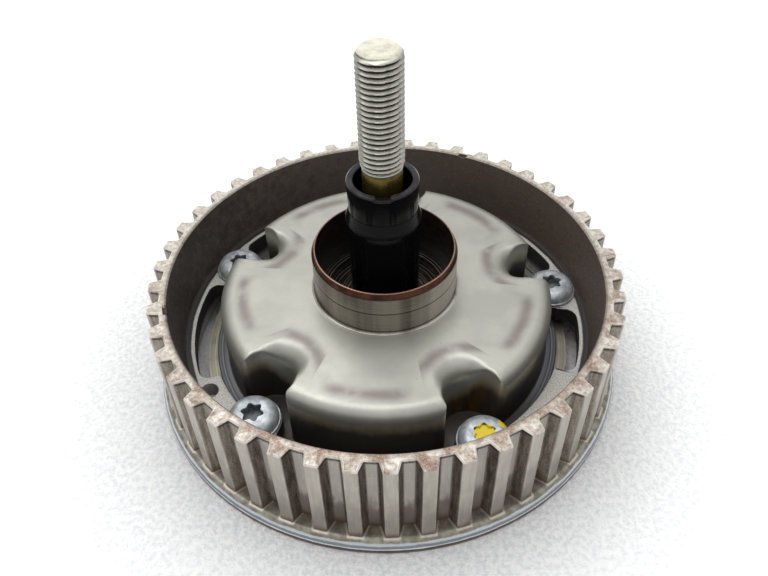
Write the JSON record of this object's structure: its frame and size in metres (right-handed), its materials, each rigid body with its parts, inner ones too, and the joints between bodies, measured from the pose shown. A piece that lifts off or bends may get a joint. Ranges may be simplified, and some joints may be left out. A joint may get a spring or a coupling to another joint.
{
  "type": "camshaft phaser",
  "caption": "Belt-driven vane camshaft phaser: toothed pulley with guide flange round a lobed rotor housing, with seal neck, oil sleeve and a long centre bolt.",
  "frame": {"origin": "on the axis of rotation, in the plane of the guide flange's lower edge, on which the part stands", "axes": "+Z along the axis of rotation towards the camshaft; +X and +Y across it, the picture looks along +Y and down"},
  "size_m": [0.1426, 0.1426, 0.1038],
  "materials": {
    "sintered_steel": "worn sintered steel, lightly rusted",
    "flange_sheet": "blued sheet with a rusted edge",
    "drawn_steel": "satin drawn sheet, oil-stained",
    "cover_steel": "turned",
    "seal_rubber": "matte",
    "screw_zinc": "zinc plated",
    "hard_steel": "ground",
    "rotor_steel": "machined sintered steel",
    "spring_steel": "bright",
    "seal_plastic": "moulded",
    "sleeve_plastic": "moulded, oily",
    "bolt_steel": "zinc-flake thread, olive shank"
  },
  "bodies": {
    "housing": {"belt_pulley": "sintered_steel", "guide_flange": "flange_sheet", "stator_housing": "drawn_steel", "front_cover": "cover_steel", "cover_seal": "seal_rubber", "clamp_screws": "screw_zinc", "front_plug": "screw_zinc", "plug_seal": "seal_rubber", "lock_bush": "hard_steel"},
    "rotor": {"rotor": "rotor_steel", "tip_seal_1": "seal_plastic", "tip_seal_2": "seal_plastic", "tip_seal_3": "seal_plastic", "tip_seal_4": "seal_plastic", "tip_seal_5": "seal_plastic", "seal_spring_1": "spring_steel", "seal_spring_2": "spring_steel", "seal_spring_3": "spring_steel", "seal_spring_4": "spring_steel", "seal_spring_5": "spring_steel", "lock_spring": "spring_steel", "lock_cap": "hard_steel", "oil_sleeve": "sleeve_plastic", "centre_bolt": "bolt_steel"},
    "lock_pin": {"lock_pin": "hard_steel"}
  },
  "joints": [
    {"name": "rotor_turn", "type": "hinge", "parent": "housing", "child": "rotor", "pos_m": [0, 0, 0], "axis": [0, 0, 1], "range_deg": [-10.75, 10.75]},
    {"name": "lock_pin_slide", "type": "slide", "parent": "rotor", "child": "lock_pin", "axis": [0, 0, 1], "range_m": [0, 0.0036], "stiffness_N_per_m": 600, "springref_m": -0.004, "deforming": ["lock_spring"]}
  ]
}
